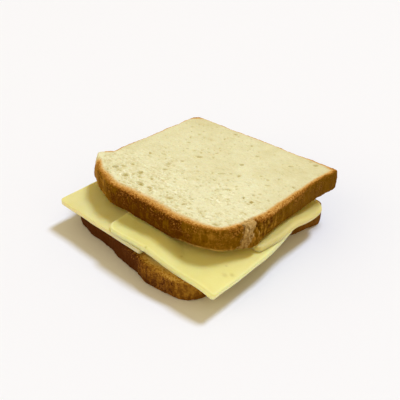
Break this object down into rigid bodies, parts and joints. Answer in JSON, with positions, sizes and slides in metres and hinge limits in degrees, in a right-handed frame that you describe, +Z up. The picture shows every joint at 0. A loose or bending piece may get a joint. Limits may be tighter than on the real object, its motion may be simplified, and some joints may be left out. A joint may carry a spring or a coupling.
{
  "type": "cheese sandwich",
  "caption": "Untoasted cheese sandwich: thin square cheese slices laid over each other between two slices of white tin loaf, hanging out past the crusts. To be served on a plate.",
  "frame": {"origin": "on the surface that the sandwich lies on, under the middle of its bounding box", "axes": "+Z up through the layers; -Y towards the loaf's domed crust, which the picture shows at the front left; +X towards the loaf's right side, at the front right"},
  "size_m": [0.1186, 0.114, 0.0294],
  "materials": {
    "upper_bread": "matt pale cream crumb with fine pores; brown baked crust with a golden rim",
    "lower_bread": "matt pale cream crumb with fine pores; dark brown baked crust",
    "cheese_left": "smooth satin pale yellow",
    "cheese_front": "smooth satin pale yellow",
    "cheese_right": "smooth satin pale yellow"
  },
  "bodies": {
    "root": {"lower_slice": "lower_bread", "cheese_left": "cheese_left", "cheese_front": "cheese_front", "cheese_right": "cheese_right", "upper_slice": "upper_bread"}
  },
  "joints": []
}
